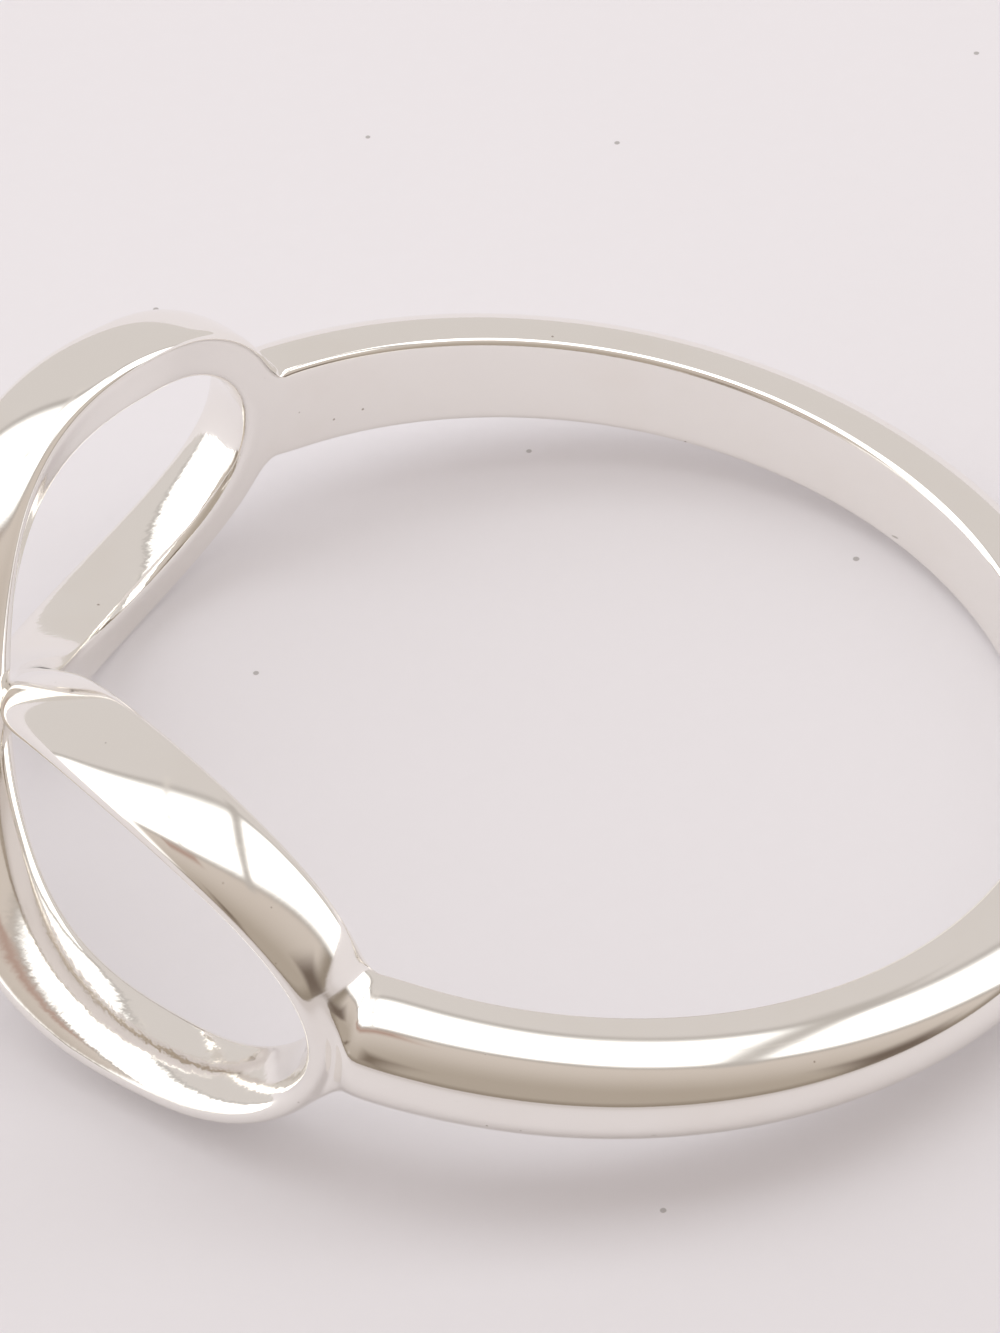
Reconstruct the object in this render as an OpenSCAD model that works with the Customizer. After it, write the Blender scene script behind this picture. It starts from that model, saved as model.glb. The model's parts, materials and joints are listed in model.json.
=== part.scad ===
// Infinity ring: one solid of polished silver. A half-round band, flat inside
// and domed outside, grows wider toward the front and runs into a pierced
// figure of eight that is curved round the finger. One strand of the figure
// passes over the other. The ring lies on its side as it rests by itself: on
// the two lower lobes of the figure and on the back of the band.
//
// Frame: Z up, the floor at Z = 0, the figure toward -X, the back of the band
// toward +X, the origin under the middle of the whole ring.

/* [Finger hole] */
// Inner diameter of the ring
finger_d = 16.9; // [14:0.1:22]

/* [Band] */
// Width of the band at the middle of its back
band_w_back = 1.55; // [1.2:0.05:2.6]
// Width of the band where it meets the loops
band_w_front = 2.05; // [1.5:0.05:3]
// Thickness of the band at its back, from the inner face to the top of the dome
band_t_back = 1.5; // [1:0.05:2.4]
// Thickness of the band where it meets the loops
band_t_front = 1.55; // [1:0.05:2.4]
// Radius of the polished edge between the flat inner face and the dome
edge_r = 0.13; // [0.05:0.01:0.25]
// Fullness of the domes: 2 is an ellipse, more is squarer
dome_power = 2.2; // [2:0.1:3]

/* [Infinity figure] */
// Length of the figure round the finger, tip to tip of its centre line
figure_l = 17.4; // [12:0.1:20]
// How much farther the tip of each loop reaches than a plain figure of eight
tip_reach = 0.3; // [0:0.05:0.6]
// Height of the figure along the finger, between the centre lines
figure_h = 5.55; // [4.5:0.1:8]
// Width of a strand across its inner face
strand_w = 1.05; // [0.7:0.05:1.6]
// Width of a strand at the tip of each loop, across its inner face
tip_w = 0.82; // [0.6:0.02:1.2]
// Thickness of a strand, from the inner face to the top of the dome
strand_t = 1.55; // [1:0.05:2]
// How far the over strand stands off the finger at the crossing
crossing_lift = 0.95; // [0.8:0.05:1.8]
// Length round the finger, each side of the crossing, over which it rises
crossing_l = 6.3; // [3:0.1:8]
// Length round the finger, each side of the crossing, over which the under
// strand grows thinner
notch_l = 2.2; // [2:0.1:5]
// Depth of the joint at the tip of each loop, where the band narrows into it
joint_l = 0.45; // [0.3:0.05:0.6]

/* [Hidden] */

// Slit left between the two strands at the crossing, bridged by the weld
crossing_slit = 0.05;
// Diameter of the weld that joins the strands at the crossing
weld_d = 0.7;
// How far the weld reaches into each strand, as a share of the over strand's lift
weld_share = 0.5;
// Share of the figure's length at which a strand is highest, set by the curve
// s = cos u / (1 + sin^2 u), z = sin u cos u / (1 + sin^2 u), whose height at
// unit length is this share
lemniscate_h = sqrt(2) / 4;
// Power of the cosine that keeps the longer reach and the other width near the tips
tip_power = 8;
// Depth of the foot under each section that the finger hole trims away
foot_h = 0.2;
// What is left of the foot where a strand stands off the finger
foot_min = 0.01;
// Height of the upright land between the finger hole and the polished edge
land_h = 0.05;
// Share of its width and thickness that the band keeps at each buried end
joint_share = 0.6;
// Steps of the sweeps, of each dome and of each polished edge
figure_steps = 128;
band_steps = 54;
joint_steps = 3;
dome_steps = 10;
edge_steps = 2;
// Sides of the round weld and of the finger hole
weld_sides = 24;
hole_sides = 180;
// Steepest angle at which the ring may rest, and the halvings in the search for
// the true one
rest_max = 45;
rest_steps = 30;

finger_r = finger_d / 2;
deg_per_mm = 180 / (PI * finger_r);
// Half the angle that the figure takes round the finger
figure_a = figure_l / 2 * deg_per_mm;
// Angles from the middle of the back to the start and the end of each joint,
// which lies half before and half behind the tip of the strands' centre line
joint_start_a = 180 - figure_a - joint_l / 2 * deg_per_mm;
joint_end_a = 180 - figure_a + joint_l / 2 * deg_per_mm;
// Height of the cylinder that trims the finger hole, well past both edges
hole_h = 2 * (figure_h + strand_w);

// A smooth hill over a length each side, 1 at the crossing and 0 beyond it
function hill(s, reach) = (1 + cos(180 * min(1, abs(s) / reach))) / 2;
// Share of its full lift that the over strand has: level near the crossing
function rise(s) = 1 - pow(1 - hill(s, crossing_l), 2);

// The centre line of the figure, u from 0 to 360: length round the finger from
// the crossing, and height along the finger. It goes over at u = 90.
function tipness(u) = pow(abs(cos(u)), tip_power);
function line_s(u) =
    (figure_l / 2 - tip_reach * (1 - tipness(u))) * cos(u) / (1 + pow(sin(u), 2));
function line_z(u) =
    figure_h / 2 / lemniscate_h * sin(u) * cos(u) / (1 + pow(sin(u), 2));
function is_over(u) = u > 0 && u < 180;
function line_lift(u) = is_over(u) ? crossing_lift * rise(line_s(u)) : 0;
function line_w(u) = strand_w - (strand_w - tip_w) * tipness(u);
function line_t(u) =
    is_over(u) ? strand_t
    : strand_t
        - (strand_t - crossing_lift + crossing_slit) * hill(line_s(u), notch_l);

// A point of the centre line in space, round the finger's axis
function on_finger(s, z, r) =
    let (a = 180 - s * deg_per_mm) [r * cos(a), r * sin(a), z];
function line_point(u) =
    on_finger(line_s(u), line_z(u), finger_r + line_lift(u));
function unit(v) = v / norm(v);

// Half-round section as [across, out] points, w wide and t thick, with its
// inner face at out = 0 and a foot below it
function section(w, t, foot) =
    let (h = w / 2, flat = h - edge_r, base = land_h + edge_r)
    concat(
        [[-flat, -foot], [flat, -foot]],
        [for (i = [0 : edge_steps])
            let (a = 90 * i / edge_steps)
            [flat + edge_r * sin(a), land_h + edge_r * (1 - cos(a))]],
        [for (i = [1 : dome_steps - 1])
            let (a = 180 * i / dome_steps)
            [h * sign(cos(a)) * pow(abs(cos(a)), 2 / dome_power),
             base + (t - base) * pow(sin(a), 2 / dome_power)]],
        [for (i = [edge_steps : -1 : 0])
            let (a = 90 * i / edge_steps)
            [-flat - edge_r * sin(a), land_h + edge_r * (1 - cos(a))]]
    );

// The section placed at a point of a path: outward from the finger's axis and
// square to the direction of the path
function placed(profile, point, direction) =
    let (radial = unit([point.x, point.y, 0]),
         across = unit(cross(direction, radial)),
         out = unit(cross(across, direction)))
    [for (p = profile) point + across * p.x + out * p.y];

function figure_ring(u) =
    let (du = 180 / figure_steps,
         direction = unit(line_point(u + du) - line_point(u - du)),
         foot = max(foot_min, foot_h - line_lift(u)))
    placed(section(line_w(u), line_t(u), foot), line_point(u), direction);

// The band at an angle from the middle of its back: it grows toward the front
// and narrows within each joint, where the tip of a loop covers it
function band_mix(a) = (1 - cos(a)) / (1 - cos(joint_start_a));
function joint_mix(a) =
    max(0, abs(a) - joint_start_a) / (joint_end_a - joint_start_a);
function band_ring(a) =
    let (share = 1 - (1 - joint_share) * joint_mix(a),
         w = band_w_back + (band_w_front - band_w_back) * band_mix(a),
         t = band_t_back + (band_t_front - band_t_back) * band_mix(a))
    placed(section(share * w, share * t, foot_h), finger_r * [cos(a), sin(a), 0],
           [-sin(a), cos(a), 0]);

function joint_angle(i) =
    joint_start_a + (joint_end_a - joint_start_a) * i / joint_steps;
function band_angle(i) = joint_start_a * (2 * i / band_steps - 1);
band_angles = concat(
    [for (i = [joint_steps : -1 : 1]) -joint_angle(i)],
    [for (i = [0 : band_steps]) band_angle(i)],
    [for (i = [1 : joint_steps]) joint_angle(i)]
);

// Solid through a list of sections with equal numbers of points, closed on
// itself or capped at both ends
module sweep(rings, closed) {
    n = len(rings[0]);
    m = len(rings);
    last = closed ? m - 1 : m - 2;
    walls = [for (i = [0 : last]) for (j = [0 : n - 1])
        let (a = i * n + j, b = i * n + (j + 1) % n,
             c = (i + 1) % m * n + (j + 1) % n, d = (i + 1) % m * n + j)
        each [[a, b, c], [a, c, d]]];
    caps = closed ? []
        : [[for (j = [n - 1 : -1 : 0]) j], [for (j = [0 : n - 1]) (m - 1) * n + j]];
    polyhedron([for (r = rings) each r], concat(walls, caps), convexity = 8);
}

// All points of the ring before it is tilted, for the search for its rest
figure_rings = [for (i = [0 : figure_steps - 1])
    figure_ring(360 * (i + 0.5) / figure_steps)];
band_rings = [for (a = band_angles) band_ring(a)];
lobe_points = [for (r = figure_rings) each r];
back_points = [for (r = band_rings) if (r[0].x > 0) each r];

// Height of a point once the ring is turned by an angle about Y
function tilted_z(p, tilt) = p.z * cos(tilt) - p.x * sin(tilt);
function tilted_x(p, tilt) = p.z * sin(tilt) + p.x * cos(tilt);
function lowest(points, tilt) = min([for (p = points) tilted_z(p, tilt)]);
// The tilt at which the lobes and the back touch the floor together
function rest_tilt(low, high, steps) =
    let (middle = (low + high) / 2)
    steps == 0 ? middle
    : lowest(lobe_points, middle) < lowest(back_points, middle)
        ? rest_tilt(middle, high, steps - 1) : rest_tilt(low, middle, steps - 1);

tilt = rest_tilt(0, rest_max, rest_steps);
floor_z = lowest(lobe_points, tilt);
all_x = [for (p = concat(lobe_points, back_points)) tilted_x(p, tilt)];
middle_x = (min(all_x) + max(all_x)) / 2;

module figure() {
    sweep(figure_rings, true);
    crossing_weld();
}

// Joins the two strands inside the crossing
module crossing_weld() {
    inside = weld_share * crossing_lift;
    translate([-finger_r - crossing_lift - inside, 0, 0])
        rotate([0, 90, 0])
            cylinder(h = 2 * inside, d = weld_d, $fn = weld_sides);
}

module band() {
    sweep(band_rings, false);
}

// Band and figure as one closed skin, at the size at which they are drawn
module skin() {
    resize([0, 0, 0])
        children();
}

module finger_hole() {
    cylinder(h = hole_h, r = finger_r, center = true, $fn = hole_sides);
}

module ring() {
    color("silver")
        translate([-middle_x, 0, -floor_z])
            rotate([0, tilt, 0])
                difference() {
                    skin() {
                        band();
                        figure();
                    }
                    finger_hole();
                }
}

ring();
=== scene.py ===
"""Infinity ring in polished silver, lying on its side on pale paper.

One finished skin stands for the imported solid. It follows the same sizes: half-round
sections are set along the band and along the figure of eight, bridged, joined where
the band grows out of the tip of each loop, and subdivided. Lengths are millimetres
in the frame of the finger, whose axis is Z, until the skin is laid down in metres.
"""

import json
import logging
import math
from collections.abc import Iterable
from dataclasses import dataclass, field
from enum import Enum
from typing import Any

import bmesh
import bpy
from mathutils import Euler, Matrix, Vector, noise


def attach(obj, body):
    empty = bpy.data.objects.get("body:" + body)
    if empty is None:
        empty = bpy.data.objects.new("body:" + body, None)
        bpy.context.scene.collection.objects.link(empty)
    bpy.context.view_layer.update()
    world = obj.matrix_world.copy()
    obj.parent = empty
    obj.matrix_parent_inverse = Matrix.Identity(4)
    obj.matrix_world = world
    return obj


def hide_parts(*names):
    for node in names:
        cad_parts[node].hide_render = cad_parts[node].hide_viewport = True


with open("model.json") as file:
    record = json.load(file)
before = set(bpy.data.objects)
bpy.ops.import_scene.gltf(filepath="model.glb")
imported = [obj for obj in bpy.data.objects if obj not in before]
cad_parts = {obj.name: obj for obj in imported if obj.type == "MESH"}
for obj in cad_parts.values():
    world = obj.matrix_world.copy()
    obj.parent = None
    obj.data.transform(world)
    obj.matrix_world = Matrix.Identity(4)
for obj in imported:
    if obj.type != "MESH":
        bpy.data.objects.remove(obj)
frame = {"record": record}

Colour = tuple[float, float, float]
Span = tuple[float, float]
Loop = list[bmesh.types.BMVert]

LOG = logging.getLogger("ring")
MM = 0.001
# The value that a noise pattern varies round
NOISE_MIDDLE = 0.5
# Keeps a division from failing straight overhead
NEARLY_NOTHING = 1e-8


class Wire:
    """A node's output that takes part in arithmetic, each operation adding a Math node."""

    def __init__(self, graph: "Graph", socket: bpy.types.NodeSocket) -> None:
        """Wrap a socket.

        Args:
            graph: The graph that holds the socket's node.
            socket: The output socket.
        """
        self.graph = graph
        self.socket = socket

    def _math(self, operation: str, *values: Any) -> "Wire":
        """Add one Math node.

        Args:
            operation: The Math node's operation.
            values: The operands in order, wires or numbers.

        Returns:
            The node's result.
        """
        inputs = dict(enumerate(values))
        return self.graph.wire("ShaderNodeMath", {"operation": operation}, inputs)

    def __add__(self, other: Any) -> "Wire":
        """Sum."""
        return self._math("ADD", self, other)

    def __radd__(self, other: Any) -> "Wire":
        """Sum with a number on the left."""
        return self._math("ADD", other, self)

    def __sub__(self, other: Any) -> "Wire":
        """Difference."""
        return self._math("SUBTRACT", self, other)

    def __rsub__(self, other: Any) -> "Wire":
        """Difference from a number on the left."""
        return self._math("SUBTRACT", other, self)

    def __mul__(self, other: Any) -> "Wire":
        """Product."""
        return self._math("MULTIPLY", self, other)

    def __rmul__(self, other: Any) -> "Wire":
        """Product with a number on the left."""
        return self._math("MULTIPLY", other, self)

    def __truediv__(self, other: Any) -> "Wire":
        """Quotient."""
        return self._math("DIVIDE", self, other)

    def __rtruediv__(self, other: Any) -> "Wire":
        """Quotient of a number on the left."""
        return self._math("DIVIDE", other, self)

    def __pow__(self, other: Any) -> "Wire":
        """Power."""
        return self._math("POWER", self, other)

    def __abs__(self) -> "Wire":
        """Size without sign."""
        return self._math("ABSOLUTE", self)

    def larger(self, other: Any) -> "Wire":
        """The larger of two values."""
        return self._math("MAXIMUM", self, other)

    def step(self, low: float, high: float) -> "Wire":
        """Rise smoothly between two values.

        Args:
            low: Where the result is 0.
            high: Where the result is 1.

        Returns:
            A value from 0 to 1.
        """
        settings = {"interpolation_type": "SMOOTHSTEP"}
        inputs = {"Value": self, "From Min": low, "From Max": high}
        return self.graph.wire("ShaderNodeMapRange", settings, inputs)


@dataclass(frozen=True)
class Grain:
    """A noise pattern: its scale, its finer layers and how strong those are."""

    scale: float
    detail: float
    rough: float = 0.5


class Graph:
    """The nodes of one material or world."""

    # The Mix node's sockets for colours
    FIRST_COLOUR = 6
    SECOND_COLOUR = 7
    MIXED_COLOUR = 2

    def __init__(self, tree: bpy.types.NodeTree) -> None:
        """Take over an emptied node tree.

        Args:
            tree: The tree, whose nodes are removed.
        """
        tree.nodes.clear()
        self.tree = tree

    def add(
        self,
        kind: str,
        settings: dict[str, Any] | None = None,
        inputs: dict[Any, Any] | None = None,
    ) -> bpy.types.Node:
        """Add any node.

        Args:
            kind: The node's type.
            settings: Its properties, set first.
            inputs: Values or wires for its input sockets, by name or by number.

        Returns:
            The node.
        """
        node = self.tree.nodes.new(kind)
        for name, value in (settings or {}).items():
            setattr(node, name, value)
        for key, value in (inputs or {}).items():
            if isinstance(value, Wire):
                self.tree.links.new(value.socket, node.inputs[key])
            else:
                node.inputs[key].default_value = value
        return node

    def wire(
        self,
        kind: str,
        settings: dict[str, Any] | None = None,
        inputs: dict[Any, Any] | None = None,
        output: int | str = 0,
    ) -> Wire:
        """Add any node and take one of its outputs.

        Args:
            kind: The node's type.
            settings: Its properties.
            inputs: Values or wires for its input sockets.
            output: The output's name or number.

        Returns:
            The output as a wire.
        """
        return Wire(self, self.add(kind, settings, inputs).outputs[output])

    def mix(self, factor: Any, first: Any, second: Any, blend: str = "MIX") -> Wire:
        """Mix two colours.

        Args:
            factor: Share of the second colour.
            first: The first colour.
            second: The second colour.
            blend: The Mix node's blend type.

        Returns:
            The mixed colour.
        """
        settings = {"data_type": "RGBA", "blend_type": blend}
        inputs = {
            0: factor,
            self.FIRST_COLOUR: _opaque(first),
            self.SECOND_COLOUR: _opaque(second),
        }
        return self.wire("ShaderNodeMix", settings, inputs, self.MIXED_COLOUR)

    def split(self, vector: Wire) -> tuple[Wire, Wire, Wire]:
        """Split a vector.

        Args:
            vector: The vector.

        Returns:
            Its three parts.
        """
        node = self.add("ShaderNodeSeparateXYZ", None, {0: vector})
        return tuple(Wire(self, node.outputs[number]) for number in range(3))

    def join(self, x: Any, y: Any, z: Any) -> Wire:
        """Make a vector of three values.

        Args:
            x: The first.
            y: The second.
            z: The third.

        Returns:
            The vector.
        """
        return self.wire("ShaderNodeCombineXYZ", None, {0: x, 1: y, 2: z})

    def noise(self, place: Wire, grain: Grain) -> Wire:
        """Add a noise pattern.

        Args:
            place: Where it is read.
            grain: The pattern.

        Returns:
            Values round NOISE_MIDDLE.
        """
        inputs = {
            "Vector": place,
            "Scale": grain.scale,
            "Detail": grain.detail,
            "Roughness": grain.rough,
        }
        return self.wire("ShaderNodeTexNoise", None, inputs)

    def bump(self, height: Wire, depth: float, normal: Wire | None = None) -> Wire:
        """Turn a height into a normal.

        Args:
            height: The height, as a share of the depth.
            depth: The depth in metres.
            normal: The normal that it is laid over, if any.

        Returns:
            The normal.
        """
        inputs = {"Height": height, "Distance": depth, "Strength": 1.0}
        if normal is not None:
            inputs["Normal"] = normal
        return self.wire("ShaderNodeBump", None, inputs)

    def surface(self, inputs: dict[str, Any]) -> None:
        """Finish a material with its shader and output.

        Args:
            inputs: Values or wires for the shader's sockets.
        """
        shader = self.add("ShaderNodeBsdfPrincipled", None, inputs)
        out = self.add("ShaderNodeOutputMaterial")
        self.tree.links.new(shader.outputs[0], out.inputs[0])


def _opaque(colour: Any) -> Any:
    """A colour of three numbers with its alpha, or a wire as it is."""
    return colour if isinstance(colour, Wire) else (*colour[:3], 1.0)


class Side(Enum):
    """The band's two ends and the tips they run into, seen from in front of the figure."""

    LEFT = 1
    RIGHT = -1


@dataclass(frozen=True)
class HalfRound:
    """A half-round section: flat towards the finger, domed outside, with rounded edges."""

    width: float
    thickness: float
    edge_radius: float = 0.13
    edge_height: float = 0.18
    fullness: float = 2.2

    def points(self, flat: int, edge: int, dome: int) -> list[Vector]:
        """Go round the section from the middle of its flat.

        Args:
            flat: Steps across the flat, an even number.
            edge: Steps round each edge.
            dome: Steps over the dome, an even number.

        Returns:
            Points whose x lies across the section and whose y points outward.
        """
        half = self.width / 2
        reach = half - self.edge_radius
        rise = self.thickness - self.edge_height
        side = [Vector((2 * reach * i / flat, 0)) for i in range(flat // 2 + 1)]
        for i in range(1, edge + 1):
            turn = math.pi / 2 * i / edge
            across = reach + self.edge_radius * math.sin(turn)
            side.append(Vector((across, self.edge_height * (1 - math.cos(turn)))))
        for i in range(1, dome // 2 + 1):
            turn = math.pi * i / dome
            across = half * max(0.0, math.cos(turn)) ** (2 / self.fullness)
            if i == dome // 2:
                across = 0.0
            out = self.edge_height + rise * math.sin(turn) ** (2 / self.fullness)
            side.append(Vector((across, out)))
        other = [Vector((-p.x, p.y)) for p in reversed(side[1:-1])]
        return side + other


@dataclass(frozen=True)
class Finger:
    """The round hole that the finger goes through, and how it lies."""

    radius: float
    middle: Vector
    tilt: float

    @classmethod
    def from_record(cls, record: dict[str, Any]) -> "Finger":
        """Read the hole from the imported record.

        Args:
            record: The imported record.

        Returns:
            The hole as its mount states it.
        """
        mount = next(m for m in record["mounts"] if m["name"] == "finger_hole")
        axis = mount["axis"]
        return cls(
            radius=mount["dims"]["r_mm"],
            middle=Vector(mount["pos_m"]),
            tilt=math.atan2(axis[0], axis[2]),
        )

    def laid_down(self) -> Matrix:
        """The place of the ring on the floor, from the finger's millimetres to metres."""
        turn = Matrix.Rotation(self.tilt, 4, "Y")
        return Matrix.Translation(self.middle) @ turn @ Matrix.Scale(MM, 4)

    def angle(self, length: float) -> float:
        """The angle round the finger of a length measured from the crossing."""
        return math.pi - length / self.radius

    def at(self, length: float, height: float, lift: float = 0.0) -> Vector:
        """Find a point on or above the finger.

        Args:
            length: Length round the finger from the crossing.
            height: Height along the finger.
            lift: Distance from the finger.

        Returns:
            The point.
        """
        angle = self.angle(length)
        radius = self.radius + lift
        return Vector((radius * math.cos(angle), radius * math.sin(angle), height))


def seat(points: Iterable[Vector], place: Vector, heading: Vector) -> list[Vector]:
    """Set a section upright on a path.

    Args:
        points: The section's points.
        place: The point of the path.
        heading: The direction of the path.

    Returns:
        The section's points in space.
    """
    radial = Vector((place.x, place.y, 0)).normalized()
    across = heading.cross(radial).normalized()
    out = across.cross(heading).normalized()
    return [place + across * p.x + out * p.y for p in points]


@dataclass
class Band:
    """The half-round band, from the groove beside one loop round the back to the other.

    The groove lies at valley_at, as a length from the crossing, and the band reaches
    its full size valley_step behind it.
    """

    finger: Finger
    width_back: float = 1.55
    width_front: float = 2.05
    thickness_back: float = 1.5
    thickness_front: float = 1.55
    valley_at: float = 9.04
    valley_step: float = 0.13
    valley_width: float = 0.95
    valley_thickness: float = 0.93
    steps: int = 48
    flat_steps: int = 8
    edge_steps: int = 3
    dome_steps: int = 12

    def sections(self) -> list[list[Vector]]:
        """Set out the sections.

        Returns:
            Each section's points, from the right end to the left end.
        """
        end = self.finger.angle(self.valley_at + self.valley_step)
        valley = self.finger.angle(self.valley_at)
        angles = [end * (2 * i / self.steps - 1) for i in range(self.steps + 1)]
        rows = [self._section(a, end, 1.0, 1.0) for a in angles]
        share = (self.valley_width, self.valley_thickness)
        first = self._section(-valley, end, *share)
        last = self._section(valley, end, *share)
        return [first, *rows, last]

    def _section(self, angle: float, end: float, wide: float, thick: float) -> list[Vector]:
        """Set one section at an angle from the middle of the back.

        Args:
            angle: The angle.
            end: The angle at which the band has its front size.
            wide: Share of the width.
            thick: Share of the thickness.

        Returns:
            The section's points.
        """
        growth = (1 - math.cos(angle)) / (1 - math.cos(end))
        width = self.width_back + (self.width_front - self.width_back) * growth
        thickness = self.thickness_back + (self.thickness_front - self.thickness_back) * growth
        shape = HalfRound(width * wide, thickness * thick)
        points = shape.points(self.flat_steps, self.edge_steps, self.dome_steps)
        radius = self.finger.radius
        place = Vector((radius * math.cos(angle), radius * math.sin(angle), 0))
        heading = Vector((-math.sin(angle), math.cos(angle), 0))
        return seat(points, place, heading)


@dataclass
class Figure:
    """The figure of eight, curved round the finger, one strand lifted over the other.

    Toward each tip the curve reaches tip_reach farther than a plain figure of eight.
    At the crossing the edges are rounder, and the under strand ends a little inside
    the over one. At a tip, open_steps sections each side are opened for the band, from
    the middle of the flat round the outer side to kept_dome faces short of the top.
    """

    finger: Finger
    length: float = 17.4
    height: float = 5.55
    tip_reach: float = 0.3
    tip_power: float = 8.0
    strand_width: float = 1.05
    tip_width: float = 0.82
    strand_thickness: float = 1.55
    lift: float = 0.95
    lift_length: float = 6.3
    notch_length: float = 2.2
    sink: float = 0.12
    edge_radius: float = 0.16
    edge_height: float = 0.2
    rounder: float = 0.2
    fullness: float = 2.0
    crowd: float = 2.0
    steps: int = 96
    flat_steps: int = 4
    edge_steps: int = 3
    dome_steps: int = 14
    open_steps: int = 2
    kept_dome: int = 3
    heading_share: float = 0.125

    def phase(self, step: float) -> float:
        """The curve's parameter at a step: steps crowd a little at the tips."""
        turn = math.tau * step / self.steps
        return turn - math.radians(self.crowd) * math.sin(2 * turn)

    def on_curve(self, phase: float) -> tuple[float, float]:
        """Find the centre line on the finger's unrolled surface.

        Args:
            phase: Where on the curve.

        Returns:
            The length round the finger from the crossing, and the height along it.
        """
        # Unscaled, the curve is sqrt(2) / 2 high, so height is multiplied by sqrt(2)
        spread = 1 + math.sin(phase) ** 2
        reach = self.length / 2 - self.tip_reach * (1 - self.tipness(phase))
        length = reach * math.cos(phase) / spread
        height = self.height * math.sqrt(2) * math.sin(phase) * math.cos(phase) / spread
        return length, height

    def tipness(self, phase: float) -> float:
        """How near a phase is to the tip of a loop, 1 at the tip itself."""
        return abs(math.cos(phase)) ** self.tip_power

    def is_over(self, phase: float) -> bool:
        """Whether the phase lies on the strand that passes over."""
        return 0 < phase % math.tau < math.pi

    @staticmethod
    def bump(length: float, reach: float) -> float:
        """A smooth hill over a reach, 1 at the crossing and 0 beyond its end."""
        return (1 + math.cos(math.pi * min(1.0, abs(length) / reach))) / 2

    def rise(self, length: float) -> float:
        """Share of its full lift that the over strand has: level at the crossing."""
        return 1 - (1 - self.bump(length, self.lift_length)) ** 2

    def place(self, phase: float) -> Vector:
        """Find the centre line's point in space.

        Args:
            phase: Where on the curve.

        Returns:
            The point.
        """
        length, height = self.on_curve(phase)
        lift = self.lift * self.rise(length) if self.is_over(phase) else 0.0
        return self.finger.at(length, height, lift)

    def section(self, phase: float) -> list[Vector]:
        """Set one section.

        Args:
            phase: Where on the curve.

        Returns:
            The section's points.
        """
        notch = self.bump(self.on_curve(phase)[0], self.notch_length)
        under = self.strand_thickness - (self.strand_thickness - self.lift - self.sink) * notch
        thickness = self.strand_thickness if self.is_over(phase) else under
        ahead = math.tau / self.steps * self.heading_share
        heading = (self.place(phase + ahead) - self.place(phase - ahead)).normalized()
        more = self.rounder * notch
        width = self.strand_width - (self.strand_width - self.tip_width) * self.tipness(phase)
        edge = (self.edge_radius + more, self.edge_height + more)
        shape = HalfRound(width, thickness, *edge, self.fullness)
        points = shape.points(self.flat_steps, self.edge_steps, self.dome_steps)
        return seat(points, self.place(phase), heading)

    def sections(self) -> list[list[Vector]]:
        """Set out all sections, the first at the tip on the left."""
        return [self.section(self.phase(step)) for step in range(self.steps)]


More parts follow.
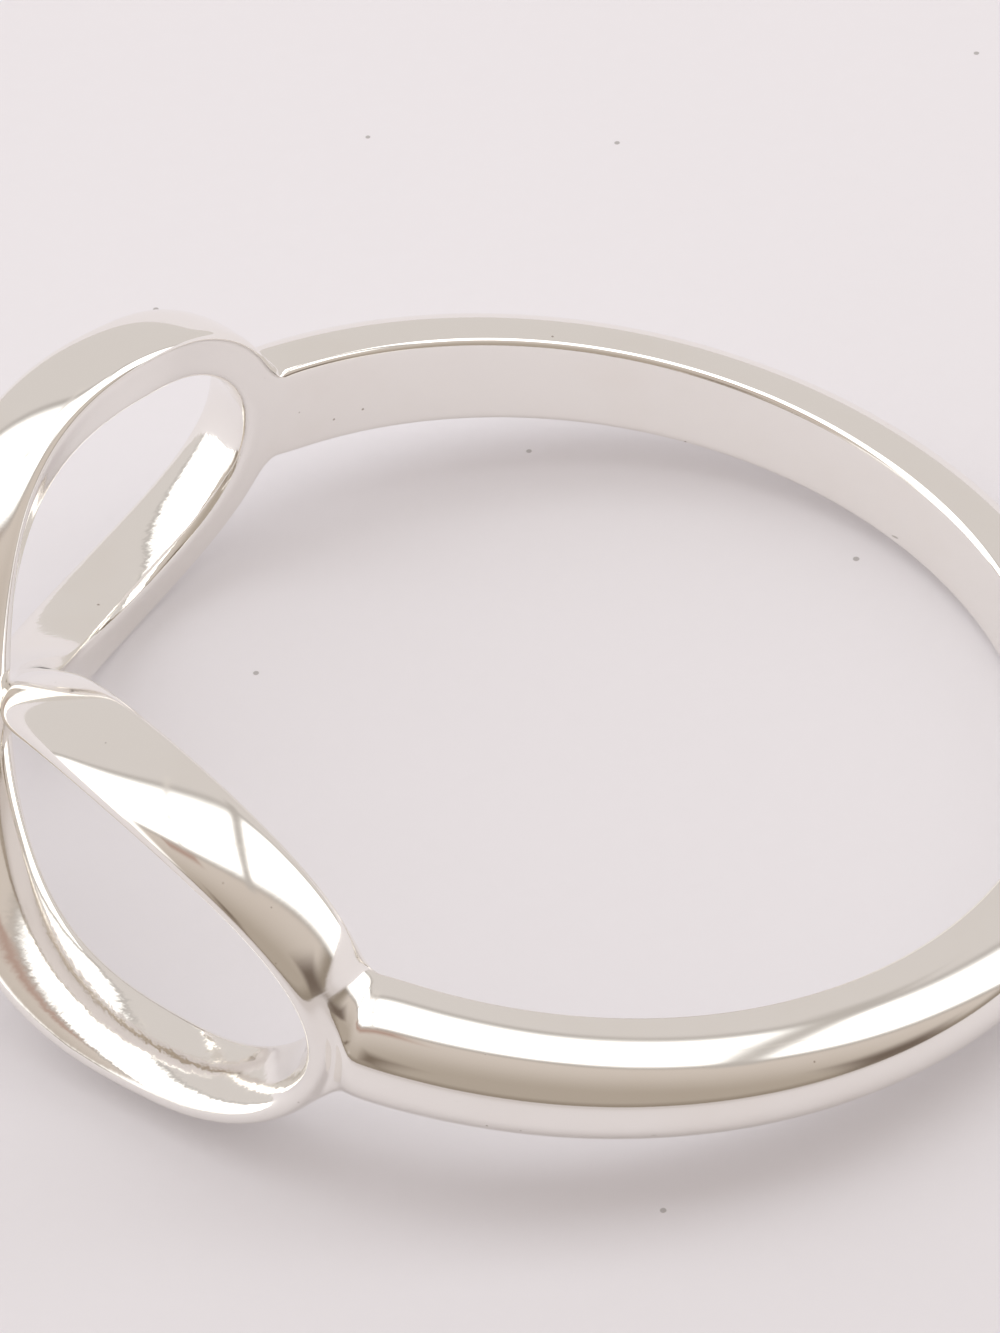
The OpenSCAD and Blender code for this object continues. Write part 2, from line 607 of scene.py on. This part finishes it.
@dataclass
class RingSkin:
    """The ring's whole outer surface as one closed mesh."""

    finger: Finger
    band: Band = field(init=False)
    figure: Figure = field(init=False)
    smoothing: int = 2
    waviness: float = 0.006
    wave_length: float = 1.7
    wave_from: float = 0.4
    filed_from: float = 0.2
    filed_fade: float = 0.3

    def __post_init__(self) -> None:
        """Give band and figure the same finger."""
        self.band = Band(self.finger)
        self.figure = Figure(self.finger)

    def build(self) -> bpy.types.Object:
        """Make the piece.

        Returns:
            The ring, at the origin with its place in its mesh.
        """
        skin = bmesh.new()
        filed = skin.verts.layers.float.new("filed")
        figure = [self._loop(skin, points) for points in self.figure.sections()]
        self._mark_filed(figure, filed)
        band = [self._loop(skin, points) for points in self.band.sections()]
        for before, after in zip(figure, figure[1:] + figure[:1]):
            self._bridge(skin, before + after)
        for before, after in zip(band, band[1:]):
            self._bridge(skin, before + after)
        for side in Side:
            self._open_tip(skin, figure, side)
        for side in Side:
            self._join(skin, side)
        bmesh.ops.recalc_face_normals(skin, faces=skin.faces)
        skin.normal_update()
        self._settle(skin)
        bmesh.ops.transform(skin, matrix=self.finger.laid_down(), verts=skin.verts)
        return self._to_object(skin)

    @staticmethod
    def _loop(skin: bmesh.types.BMesh, points: list[Vector]) -> Loop:
        """Add a section as a loop of edges.

        Args:
            skin: The mesh.
            points: The section's points.

        Returns:
            The loop's corners in order.
        """
        made = bmesh.ops.create_circle(skin, cap_ends=False, radius=1.0, segments=len(points))
        for corner, point in zip(made["verts"], points):
            corner.co = point
        return made["verts"]

    @staticmethod
    def _bridge(skin: bmesh.types.BMesh, corners: Loop) -> None:
        """Bridge two loops.

        Args:
            skin: The mesh.
            corners: The corners of both loops.
        """
        inside = set(corners)
        around = {e for v in corners for e in v.link_edges if e.other_vert(v) in inside}
        edges = [e for e in around if e.is_wire or e.is_boundary]
        bmesh.ops.bridge_loops(skin, edges=edges)

    def _open_tip(self, skin: bmesh.types.BMesh, figure: list[Loop], side: Side) -> None:
        """Open the outer side of a loop's tip, where the band joins it.

        Args:
            skin: The mesh.
            figure: The figure's loops.
            side: Which tip.
        """
        count = len(figure[0])
        top = count // 2
        tip = 0 if side is Side.LEFT else len(figure) // 2
        if side is Side.LEFT:
            across = range(top + self.figure.kept_dome, count)
        else:
            across = range(0, top - self.figure.kept_dome)
        doomed = []
        for step in range(-self.figure.open_steps, self.figure.open_steps):
            one = figure[(tip + step) % len(figure)]
            two = figure[(tip + step + 1) % len(figure)]
            for j in across:
                corners = {one[j], one[(j + 1) % count], two[j], two[(j + 1) % count]}
                doomed += [f for f in one[j].link_faces if set(f.verts) == corners]
        bmesh.ops.delete(skin, geom=doomed, context="FACES")

    @staticmethod
    def _join(skin: bmesh.types.BMesh, side: Side) -> None:
        """Bridge the band's end to the opened tip.

        Both have the same number of edges, so the faces between them run straight across.

        Args:
            skin: The mesh.
            side: Which end.
        """
        open_edges = [e for e in skin.edges if e.is_boundary]
        edges = [e for e in open_edges if e.verts[0].co.y * side.value > 0]
        LOG.info("joint %s: %d edges to bridge", side.name.lower(), len(edges))
        bmesh.ops.bridge_loops(skin, edges=edges)

    def _settle(self, skin: bmesh.types.BMesh) -> None:
        """Give the polished domes the slight waves of hand work.

        Args:
            skin: The mesh.
        """
        for corner in skin.verts:
            out = math.hypot(corner.co.x, corner.co.y) - self.finger.radius
            share = min(1.0, max(0.0, out / self.wave_from))
            wave = noise.noise(corner.co / self.wave_length)
            corner.co += corner.normal * wave * self.waviness * share

    def _mark_filed(self, figure: list[Loop], layer: bmesh.types.BMLayerItem) -> None:
        """Mark the walls inside the loops, which a file reaches but a wheel doesn't.

        Args:
            figure: The figure's loops.
            layer: The attribute that holds the mark.
        """
        top = len(figure[0]) // 2
        for step, corners in enumerate(figure):
            phase = self.figure.phase(step)
            share = abs(self.figure.on_curve(phase)[0]) / self.figure.length * 2
            left = math.cos(phase) > 0
            for j, corner in enumerate(corners):
                inside = 0 < j < top if left else top < j
                if inside:
                    mark = max(0.0, share - self.filed_from) / self.filed_fade
                    corner[layer] = min(1.0, mark)

    def _to_object(self, skin: bmesh.types.BMesh) -> bpy.types.Object:
        """Turn the mesh into a smooth, subdivided object.

        Args:
            skin: The mesh.

        Returns:
            The object.
        """
        mesh = bpy.data.meshes.new("ring_skin")
        skin.to_mesh(mesh)
        skin.free()
        mesh.polygons.foreach_set("use_smooth", [True] * len(mesh.polygons))
        piece = bpy.data.objects.new("ring_skin", mesh)
        bpy.context.scene.collection.objects.link(piece)
        subdivide = piece.modifiers.new("smooth", "SUBSURF")
        subdivide.levels = subdivide.render_levels = self.smoothing
        return piece

    def dress(self, piece: bpy.types.Object) -> None:
        """Give the ring its silver and say what it stands for.

        Args:
            piece: The ring.
        """
        piece.data.materials.append(PolishedSilver().make(self.finger))
        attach(piece, "root")
        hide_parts("ring")


@dataclass(frozen=True)
class Streaks:
    """Marks round the finger: their scales along and across them, and their share."""

    along: float
    across: float
    share: float


@dataclass(frozen=True)
class PolishedSilver:
    """Sterling silver, polished by hand, with the faint marks that this leaves.

    Depths are metres, and scales count waves or cells to a metre.
    """

    colour: Colour = (0.935, 0.915, 0.88)
    warm: Colour = (0.90, 0.865, 0.815)
    warm_share: float = 0.6
    pit: Colour = (0.36, 0.30, 0.25)
    pit_share: float = 0.75
    pit_scale: float = 1700.0
    pit_edge: Span = (0.055, 0.03)
    pit_chance: Span = (0.35, 0.6)
    roughness: float = 0.06
    haze: Grain = Grain(260.0, 4.0, 0.6)
    haze_step: Span = (0.45, 0.75)
    haze_clear: float = 0.4
    haze_rough: float = 0.14
    streak_rough: float = 0.05
    pit_rough: float = 0.25
    filed_rough: float = 0.02
    streak_depth: float = 4e-7
    streaks: tuple[Streaks, Streaks] = (
        Streaks(160.0, 9000.0, 0.6),
        Streaks(420.0, 26000.0, 0.4),
    )
    streak_grain: Grain = Grain(1.0, 2.0)
    filed_depth: float = 7e-6
    chatter: Grain = Grain(2600.0, 3.0, 0.55)
    scratches: Grain = Grain(9000.0, 2.0)
    scratch_share: float = 0.12

    def make(self, finger: Finger) -> bpy.types.Material:
        """Build the material.

        Args:
            finger: The finger's hole, round which the polish runs.

        Returns:
            The material.
        """
        material = bpy.data.materials.new("polished_silver")
        material.use_nodes = True
        graph = Graph(material.node_tree)
        place = graph.wire("ShaderNodeTexCoord", None, None, "Object")
        filed = graph.wire("ShaderNodeAttribute", {"attribute_name": "filed"}, None, "Fac")
        streaks = self._streaks(graph, place, finger)
        haze = graph.noise(place, self.haze)
        pits = self._pits(graph, place)
        warmth = haze.step(*self.haze_step) * self.warm_share
        colour = graph.mix(warmth, self.colour, self.warm)
        colour = graph.mix(pits, colour, self.pit)
        rough = self.roughness + (haze - self.haze_clear).larger(0.0) * self.haze_rough
        rough = rough + (streaks - NOISE_MIDDLE) * self.streak_rough
        rough = rough + pits * self.pit_rough + filed * self.filed_rough
        wheel = graph.bump(streaks, self.streak_depth)
        scratches = graph.noise(place, self.scratches) * self.scratch_share
        marks = (graph.noise(place, self.chatter) + scratches) * filed
        inputs = {
            "Base Color": colour,
            "Metallic": 1.0,
            "Roughness": rough,
            "Normal": graph.bump(marks, self.filed_depth, wheel),
        }
        graph.surface(inputs)
        return material

    def _streaks(self, graph: Graph, place: Wire, finger: Finger) -> Wire:
        """Fine marks that run round the finger, as the polishing wheel left them.

        Args:
            graph: The material's graph.
            place: The place on the ring.
            finger: The finger's hole.

        Returns:
            Values round NOISE_MIDDLE.
        """
        kind = "ShaderNodeVectorMath"
        inputs = {0: place, 1: finger.middle}
        from_middle = graph.wire(kind, {"operation": "SUBTRACT"}, inputs)
        inputs = {0: from_middle, 1: (math.sin(finger.tilt), 0.0, math.cos(finger.tilt))}
        height = graph.wire(kind, {"operation": "DOT_PRODUCT"}, inputs, "Value")
        x, y, _ = graph.split(place)
        layers = []
        for streaks in self.streaks:
            along, across = streaks.along, streaks.across
            stretched = graph.join(x * along, y * along, height * across)
            layers.append(graph.noise(stretched, self.streak_grain) * streaks.share)
        coarse, fine = layers
        return coarse + fine

    def _pits(self, graph: Graph, place: Wire) -> Wire:
        """Tiny pits and specks.

        Args:
            graph: The material's graph.
            place: The place on the ring.

        Returns:
            The pit's share of the colour, 0 beside a pit.
        """
        inputs = {"Vector": place, "Scale": self.pit_scale, "Randomness": 1.0}
        node = graph.add("ShaderNodeTexVoronoi", {"feature": "F1"}, inputs)
        distance = Wire(graph, node.outputs["Distance"])
        chance, _, _ = graph.split(Wire(graph, node.outputs["Color"]))
        pits = distance.step(*self.pit_edge) * chance.step(*self.pit_chance)
        return pits * self.pit_share


@dataclass(frozen=True)
class PalePaper:
    """The pale, faintly warm sheet that the ring lies on.

    It grows dimmer toward the camera. Lengths are metres.
    """

    colour: Colour = (0.69, 0.675, 0.72)
    darker_share: float = 0.965
    shade: Colour = (0.88, 0.875, 0.87)
    shade_y: Span = (0.022, -0.034)
    front_shade: Colour = (0.80, 0.775, 0.755)
    front_shade_y: Span = (-0.018, -0.045)
    fibre: Grain = Grain(2500.0, 5.0, 0.6)
    fibre_share: float = 0.6
    clouds: Grain = Grain(160.0, 3.0)
    cloud_share: float = 0.4
    dust: Colour = (0.16, 0.14, 0.13)
    dust_scale: float = 130.0
    dust_edge: Span = (0.0085, 0.0055)
    dust_ragged: float = 0.006
    dust_share: float = 0.7
    roughness: float = 0.75
    # Painted light: the sheet glows a little, which lightens and warms the shadows round the
    # ring
    glow: float = 0.18
    glow_colour: Colour = (0.81, 0.755, 0.735)
    fibre_depth: float = 5e-6

    def make(self) -> bpy.types.Material:
        """Build the material.

        Returns:
            The material.
        """
        material = bpy.data.materials.new("pale_paper")
        material.use_nodes = True
        graph = Graph(material.node_tree)
        place = graph.wire("ShaderNodeTexCoord", None, None, "Object")
        fibre = graph.noise(place, self.fibre)
        clouds = graph.noise(place, self.clouds)
        _, back, _ = graph.split(place)
        darker = tuple(c * self.darker_share for c in self.colour)
        mottle = fibre * self.fibre_share + clouds * self.cloud_share
        colour = graph.mix(mottle, darker, self.colour)
        colour = graph.mix(back.step(*self.shade_y), colour, self.shade, "MULTIPLY")
        front = back.step(*self.front_shade_y)
        colour = graph.mix(front, colour, self.front_shade, "MULTIPLY")
        colour = self._dusted(graph, place, fibre, colour)
        inputs = {
            "Base Color": colour,
            "Roughness": self.roughness,
            # The glow is painted light that lightens the shadows on the sheet
            "Emission Color": _opaque(self.glow_colour),
            "Emission Strength": self.glow,
            "Normal": graph.bump(fibre, self.fibre_depth),
        }
        graph.surface(inputs)
        return material

    def _dusted(self, graph: Graph, place: Wire, fibre: Wire, colour: Wire) -> Wire:
        """Strew specks of dust.

        Args:
            graph: The material's graph.
            place: The place on the sheet.
            fibre: The fibres, which make the specks ragged.
            colour: The sheet's colour.

        Returns:
            The colour with the specks.
        """
        inputs = {"Vector": place, "Scale": self.dust_scale, "Randomness": 1.0}
        node = graph.add("ShaderNodeTexVoronoi", {"voronoi_dimensions": "2D"}, inputs)
        ragged = (fibre - NOISE_MIDDLE) * self.dust_ragged
        distance = Wire(graph, node.outputs["Distance"]) + ragged
        return graph.mix(distance.step(*self.dust_edge) * self.dust_share, colour, self.dust)


@dataclass(frozen=True)
class PhotoCamera:
    """The camera, close above the near side of the ring and looking down at it."""

    place_mm: tuple[float, float, float] = (-6.1148, -61.6852, 61.4426)
    turn_deg: tuple[float, float, float] = (46.5991, 2.5146, -7.6219)
    lens: float = 135.03
    sensor: float = 36.0
    clip_start: float = 0.005
    clip_end: float = 10.0

    def make(self) -> bpy.types.Object:
        """Set up the camera.

        Returns:
            The scene's camera.
        """
        data = bpy.data.cameras.new("photo_camera")
        data.sensor_fit = "AUTO"
        data.sensor_width = self.sensor
        data.lens = self.lens
        data.clip_start, data.clip_end = self.clip_start, self.clip_end
        camera = bpy.data.objects.new("photo_camera", data)
        camera.location = Vector(self.place_mm) * MM
        camera.rotation_euler = Euler([math.radians(d) for d in self.turn_deg], "XYZ")
        bpy.context.scene.collection.objects.link(camera)
        bpy.context.scene.camera = camera
        return camera


@dataclass(frozen=True)
class SoftPatch:
    """A soft-edged patch of the room, placed in degrees from overhead.

    It is turned by turn degrees, and taper makes it deeper toward its left end.
    """

    right: float
    back: float
    half_width: float
    half_depth: float
    edge: float
    colour: Colour
    turn: float = 0.0
    taper: float = 0.0

    def paint(self, graph: Graph, across: Wire, along: Wire, room: Wire) -> Wire:
        """Lay the patch over the room.

        Args:
            graph: The room's graph.
            across: Degrees from overhead toward +X.
            along: Degrees from overhead toward +Y.
            room: What is painted so far.

        Returns:
            The room with the patch.
        """
        cos, sin = math.cos(math.radians(self.turn)), math.sin(math.radians(self.turn))
        right, back = across - self.right, along - self.back
        way = right * cos + back * sin
        wide = abs(way) - self.half_width
        deep = abs(back * cos - right * sin) - self.half_depth + way * self.taper
        share = wide.larger(deep).step(self.edge / 2, -self.edge / 2)
        return graph.mix(share, room, self.colour)


# The skylights' glass and the frame round it
LIGHT = (1.95, 1.93, 1.90)
FRAME = (0.27, 0.235, 0.21)
# A long skylight inside its frame, and a dimmer one low on the left
SKYLIGHTS = (
    SoftPatch(0.0, 9.5, 92.0, 20.5, 6.0, FRAME, -4.3, 0.075),
    SoftPatch(0.0, 9.5, 92.0, 17.5, 7.0, LIGHT, -4.3, 0.075),
    SoftPatch(-76.0, -14.0, 12.0, 18.0, 16.0, (1.3, 1.27, 1.24), -20.0),
)
# Two struts across the long skylight and one along it
STRUTS = (
    SoftPatch(-3.0, 12.0, 0.8, 24.0, 4.0, (0.75, 0.70, 0.66), -22.0),
    SoftPatch(31.0, 8.0, 2.4, 22.0, 3.5, (0.52, 0.48, 0.45)),
    SoftPatch(0.0, 10.0, 88.0, 0.3, 1.6, (0.75, 0.70, 0.64), -4.3),
)
# Dark things on the camera's side of the room
DIM_PATCHES = (
    SoftPatch(-18.0, -14.5, 13.0, 2.0, 8.0, (0.40, 0.25, 0.20)),
    SoftPatch(-42.0, -58.0, 10.0, 7.0, 16.0, (0.20, 0.155, 0.12), 35.0),
    SoftPatch(70.0, -42.0, 12.0, 10.0, 16.0, (0.17, 0.13, 0.105), 40.0),
)


@dataclass
class Studio:
    """Floor and room, which is lit by skylights.

    The room's parts change over from one to the next between pairs of degrees from
    overhead, toward +Y or, for the skirting, in any direction.
    """

    floor_size: float = 1.2
    far_wall: Colour = (0.70, 0.655, 0.63)
    near_wall: Colour = (0.45, 0.385, 0.325)
    near_ceiling: Colour = (0.66, 0.585, 0.53)
    skirting: Colour = (0.30, 0.25, 0.20)
    ceiling_from: Span = (-58.0, -10.0)
    skirting_from: Span = (78.0, 89.0)
    far_from: Span = (-12.0, 4.0)

    def make_floor(self) -> bpy.types.Object:
        """Lay the floor.

        Returns:
            The floor.
        """
        sheet = bmesh.new()
        bmesh.ops.create_grid(sheet, x_segments=1, y_segments=1, size=self.floor_size)
        mesh = bpy.data.meshes.new("floor")
        sheet.to_mesh(mesh)
        sheet.free()
        floor = bpy.data.objects.new("floor", mesh)
        bpy.context.scene.collection.objects.link(floor)
        mesh.materials.append(PalePaper().make())
        return floor

    def make_room(self) -> None:
        """Paint the room that lights the ring and that the silver mirrors."""
        world = bpy.data.worlds.new("room")
        bpy.context.scene.world = world
        world.use_nodes = True
        graph = Graph(world.node_tree)
        way = graph.wire("ShaderNodeTexCoord", None, None, "Generated")
        x, y, z = graph.split(way)
        angle = graph.wire("ShaderNodeMath", {"operation": "ARCCOSINE"}, {0: z})
        from_top = angle * math.degrees(1.0)
        level = (x * x + y * y).larger(NEARLY_NOTHING) ** 0.5
        degrees = from_top / level
        across, along = x * degrees, y * degrees
        near = graph.mix(along.step(*self.ceiling_from), self.near_wall, self.near_ceiling)
        near = graph.mix(from_top.step(*self.skirting_from), near, self.skirting)
        room = graph.mix(along.step(*self.far_from), near, self.far_wall)
        for patch in SKYLIGHTS + STRUTS + DIM_PATCHES:
            room = patch.paint(graph, across, along, room)
        background = graph.add("ShaderNodeBackground", None, {"Color": room, "Strength": 1.0})
        out = graph.add("ShaderNodeOutputWorld")
        graph.tree.links.new(background.outputs[0], out.inputs[0])


def report(piece: bpy.types.Object) -> None:
    """Log a piece's name and size."""
    LOG.info("%s: %d faces before smoothing", piece.name, len(piece.data.polygons))


def main() -> None:
    """Build the camera, the ring and the studio in order."""
    logging.basicConfig(level=logging.INFO, format="%(name)s: %(message)s")
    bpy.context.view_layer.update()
    PhotoCamera().make()
    bpy.context.scene.view_settings.view_transform = "Standard"
    finger = Finger.from_record(frame["record"])
    skin = RingSkin(finger)
    ring = skin.build()
    skin.dress(ring)
    report(ring)
    studio = Studio()
    report(studio.make_floor())
    studio.make_room()


if __name__ == "__main__":
    main()
